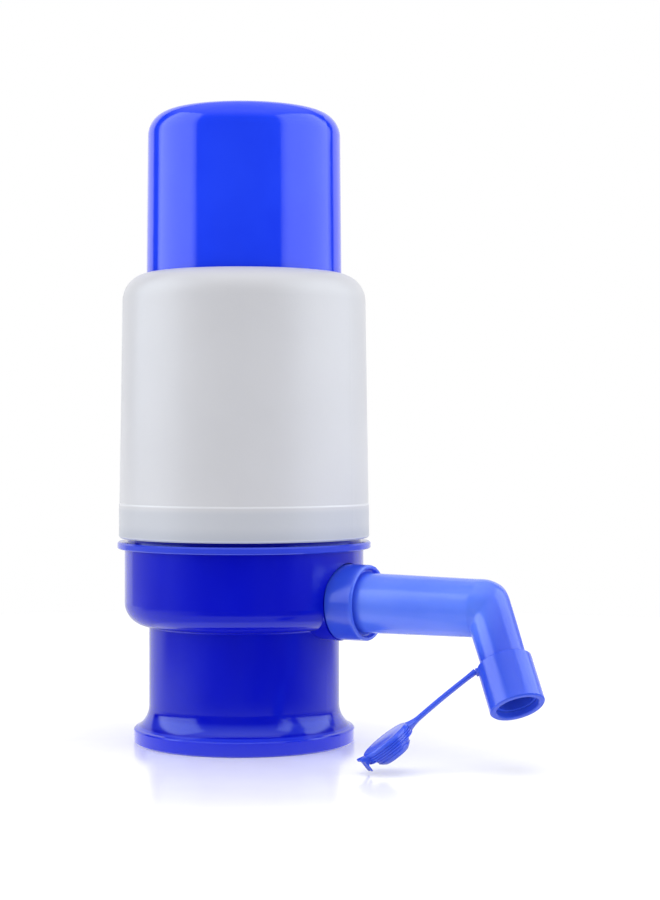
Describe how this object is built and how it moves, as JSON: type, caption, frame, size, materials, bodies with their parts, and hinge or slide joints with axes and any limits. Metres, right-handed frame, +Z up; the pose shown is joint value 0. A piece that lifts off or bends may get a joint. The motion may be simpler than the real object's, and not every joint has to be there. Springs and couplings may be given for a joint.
{
  "type": "water jug hand pump",
  "caption": "Hand press pump for a large water bottle: blue push button in a white housing over a blue bottle seat, with a bent swivel spout and a tethered cap.",
  "frame": {"origin": "centre of the bottle socket's mouth, on the foot's bottom face", "axes": "+Z up along the pump's axis, +X along the spout's arm, away from the pump"},
  "size_m": [0.1485, 0.0808, 0.2003],
  "materials": {
    "button_blue": "glossy moulded, saturated blue",
    "housing_white": "satin moulded white",
    "seat_blue": "glossy moulded, deep blue",
    "spout_blue": "soft glossy moulded, slightly translucent light blue",
    "grey_rubber": "matt moulded rubber",
    "valve_silicone": "translucent silicone rubber",
    "natural_plastic": "natural polypropylene",
    "bellows_plastic": "soft milky polyethylene",
    "spring_steel": "bright drawn stainless wire"
  },
  "bodies": {
    "pump_body": {"pump_seat": "seat_blue", "neck_gasket": "grey_rubber", "plate_o_ring": "grey_rubber", "riser_o_ring": "grey_rubber", "valve_plate": "natural_plastic", "bellows": "bellows_plastic", "bellows_ring": "natural_plastic", "return_spring": "spring_steel", "outer_housing": "housing_white"},
    "button": {"press_button": "button_blue", "spring_seat": "natural_plastic"},
    "inlet_flap": {"inlet_valve": "valve_silicone"},
    "outlet_flap": {"outlet_valve": "valve_silicone"},
    "spout_body": {"spout": "spout_blue", "spout_o_ring": "grey_rubber", "cap_ring": "spout_blue"},
    "strap_link": {"strap_inner": "spout_blue"},
    "strap_tail": {"strap_outer": "spout_blue"},
    "cap": {"spout_cap": "spout_blue"}
  },
  "joints": [
    {"name": "button_press", "type": "slide", "parent": "pump_body", "child": "button", "axis": [0, 0, -1], "range_m": [0, 0.045], "stiffness_N_per_m": 250, "springref_m": -0.03, "deforming": ["bellows", "return_spring"]},
    {"name": "inlet_lift", "type": "slide", "parent": "pump_body", "child": "inlet_flap", "axis": [0, 0, 1], "range_m": [0, 0.0012], "stiffness_N_per_m": 30, "springref_m": -0.0004},
    {"name": "outlet_drop", "type": "slide", "parent": "pump_body", "child": "outlet_flap", "axis": [0, 0, -1], "range_m": [0, 0.0012], "stiffness_N_per_m": 30, "springref_m": -0.0004},
    {"name": "spout_swivel", "type": "hinge", "parent": "pump_body", "child": "spout_body", "pos_m": [0.035, 0, 0.0458], "axis": [1, 0, 0], "continuous": true},
    {"name": "strap_swing", "type": "hinge", "parent": "spout_body", "child": "strap_link", "pos_m": [0.08653, -0.01139, 0.02783], "axis": [0.3045, -0.7996, 0.5176], "range_deg": [-8, 41.89], "stiffness_Nm_per_rad": 0.006, "springref_deg": -4.01},
    {"name": "strap_fold", "type": "hinge", "parent": "strap_link", "child": "strap_tail", "pos_m": [0.07734, -0.02136, 0.01784], "axis": [0.3045, -0.7996, 0.5176], "range_deg": [-21.37, 111.66]},
    {"name": "cap_turn", "type": "hinge", "parent": "strap_tail", "child": "cap", "pos_m": [0.07304, -0.02603, 0.01315], "axis": [-0.5454, -0.5918, -0.5935], "range_deg": [-5.78, 30.05]}
  ],
  "couplings": [
    {"joint": "strap_fold", "follows": "strap_swing", "ratio": 2.6645},
    {"joint": "cap_turn", "follows": "strap_swing", "ratio": 0.71619}
  ]
}
